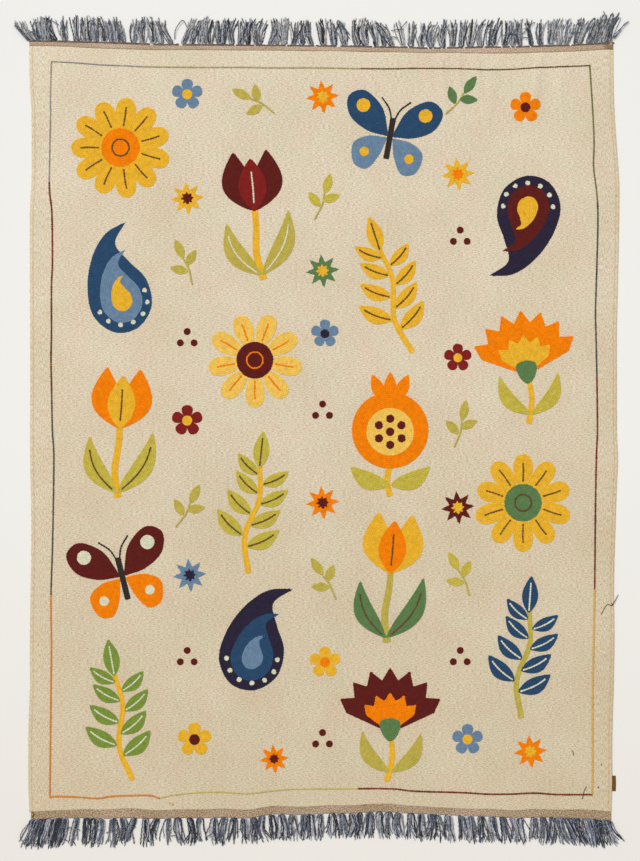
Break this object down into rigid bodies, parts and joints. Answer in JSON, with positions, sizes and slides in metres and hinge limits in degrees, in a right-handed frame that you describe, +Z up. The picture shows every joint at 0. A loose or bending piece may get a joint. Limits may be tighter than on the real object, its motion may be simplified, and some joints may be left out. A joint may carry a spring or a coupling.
{
  "type": "embroidered kilim rug",
  "caption": "Flat oblong rug of beige wool cloth with chain-stitch motifs, a thin stitched border, taupe end tapes and blue-grey bunched fringes.",
  "frame": {"origin": "on the floor under the middle of the cloth", "axes": "+X along the short ends, +Y along the long sides to the far end, +Z up from the floor"},
  "size_m": [1.2482, 1.7258, 0.0045],
  "materials": {
    "ground_wool": "matte",
    "end_tape": "matte",
    "fringe_wool": "matte",
    "label_tape": "matte"
  },
  "bodies": {
    "root": {"kilim_ground": "ground_wool", "end_band_top": "end_tape", "end_band_bottom": "end_tape", "fringe_top": "fringe_wool", "fringe_bottom": "fringe_wool", "label_tab": "label_tape"}
  },
  "joints": []
}
